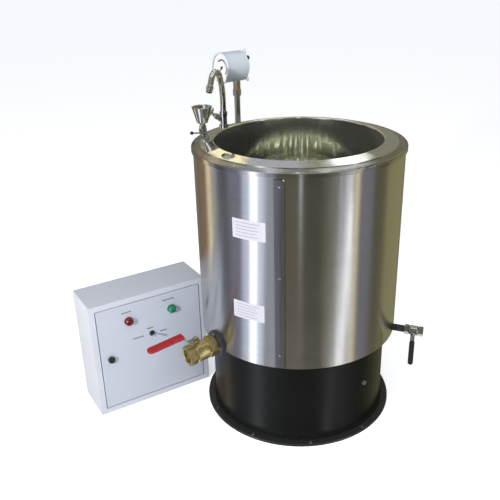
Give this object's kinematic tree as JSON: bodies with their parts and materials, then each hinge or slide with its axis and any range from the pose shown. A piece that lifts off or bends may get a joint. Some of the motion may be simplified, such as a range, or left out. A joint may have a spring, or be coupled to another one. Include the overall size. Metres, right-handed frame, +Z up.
{
  "type": "steam cooking kettle",
  "caption": "Round steam-jacketed cooking kettle on a pedestal, with drain valve, level cock, pressure gauge, swan neck tap, filling funnel and a separate control cabinet.",
  "frame": {"origin": "on the floor, on the kettle's vertical axis, which is the centre of the anchor circle", "axes": "+Z up along the kettle's axis, -Y out of the cabinet's door, the drain valve towards -X"},
  "size_m": [0.9432, 0.7053, 1.1107],
  "materials": {
    "steel": "brushed stainless steel",
    "polished": "polished stainless steel",
    "chrome": "chrome plate",
    "brass": "dull brass",
    "black_paint": "satin black enamel",
    "black_plastic": "black plastic",
    "red_grip": "dipped vinyl",
    "galvanised": "zinc plated steel",
    "cabinet_paint": "powder coat",
    "gauge_paint": "grey enamel",
    "dial_white": "matt white",
    "dial_black": "matt black",
    "glass": "clear glass",
    "red_lens": "red lens",
    "green_lens": "green lens",
    "wool": "mineral wool",
    "seat": "white seat plastic",
    "grey_plastic": "moulded grey plastic",
    "iron": "blackened pipe"
  },
  "bodies": {
    "kettle": {"cooking_vessel": "polished", "top_deck": "steel", "casing_shell": "steel", "seam_strip": "steel", "seam_screws": "galvanised", "casing_floor": "steel", "steam_jacket": "steel", "insulation": "wool", "steam_generator": "steel", "heating_elements": "galvanised", "pedestal_skirt": "black_paint", "base_flange": "black_paint", "earth_bolt": "galvanised", "drain_pipe": "steel", "drain_flange": "iron", "drain_flange_bolts": "galvanised", "drain_valve_body": "brass", "drain_valve_end": "brass", "drain_seats": "seat", "drain_gland_nut": "brass", "level_nipple": "iron", "level_cock_body": "chrome", "gauge_riser": "polished", "riser_coupling": "polished", "gauge_adapter": "brass", "gauge_case": "gauge_paint", "gauge_bezel": "gauge_paint", "gauge_glass": "glass", "gauge_dial": "dial_white", "gauge_gland": "gauge_paint", "tap_column": "chrome", "tap_bonnet": "chrome", "filling_funnel": "polished", "funnel_valve_body": "chrome", "filling_pipe": "steel", "cabinet_box": "cabinet_paint", "door_pins": "galvanised", "mounting_plate": "galvanised", "contactor": "grey_plastic"},
    "drain_handle": {"drain_ball": "chrome", "drain_stem": "brass", "drain_lever": "galvanised", "drain_grip": "red_grip", "drain_lever_nut": "galvanised"},
    "level_handle": {"level_cock_plug": "chrome", "level_cock_lever": "galvanised", "level_cock_grip": "black_plastic"},
    "pointer": {"gauge_pointer": "dial_black"},
    "spout": {"swan_neck": "chrome", "spout_aerator": "chrome"},
    "handwheel": {"tap_handle": "chrome"},
    "funnel_handle": {"funnel_plug": "chrome", "funnel_lever": "chrome", "funnel_knob": "black_plastic"},
    "door": {"cabinet_door": "cabinet_paint", "red_lamp": "red_lens", "green_lamp": "green_lens", "toggle_body": "grey_plastic"},
    "lock": {"door_lock": "black_plastic"},
    "toggle": {"toggle_lever": "chrome"}
  },
  "joints": [
    {"name": "drain_handle_turn", "type": "hinge", "parent": "kettle", "child": "drain_handle", "pos_m": [-0.38041, -0.01994, 0.2909], "axis": [-0.087, -0.0046, 0.9962], "range_deg": [0, 90]},
    {"name": "level_handle_turn", "type": "hinge", "parent": "kettle", "child": "level_handle", "pos_m": [0.22719, -0.30148, 0.304], "axis": [-0.7986, -0.6018, 0], "range_deg": [0, 90]},
    {"name": "pointer_turn", "type": "hinge", "parent": "kettle", "child": "pointer", "pos_m": [-0.03136, 0.29836, 1.058], "axis": [0.9954, 0.0958, 0], "range_deg": [0, 270]},
    {"name": "spout_turn", "type": "hinge", "parent": "kettle", "child": "spout", "pos_m": [-0.1194, 0.23433, 0.929], "axis": [0, 0, 1], "range_deg": [-105, 100]},
    {"name": "tap_handle_turn", "type": "hinge", "parent": "kettle", "child": "handwheel", "pos_m": [-0.1194, 0.23433, 0.908], "axis": [-0.7424, 0.3462, 0.5736], "range_deg": [0, 180]},
    {"name": "funnel_handle_turn", "type": "hinge", "parent": "kettle", "child": "funnel_handle", "pos_m": [-0.19794, 0.2261, 0.889], "axis": [0.5195, 0.8545, 0], "range_deg": [0, 90]},
    {"name": "door_turn", "type": "hinge", "parent": "kettle", "child": "door", "pos_m": [-0.2545, 0.229, 0.2], "axis": [0, 0, 1], "range_deg": [0, 35]},
    {"name": "lock_turn", "type": "hinge", "parent": "door", "child": "lock", "pos_m": [-0.5735, 0.223, 0.2], "axis": [0, 1, 0], "range_deg": [0, 90]},
    {"name": "toggle_turn", "type": "hinge", "parent": "door", "child": "toggle", "pos_m": [-0.427, 0.22, 0.25], "axis": [0, 0, 1], "range_deg": [-12, 12]}
  ]
}
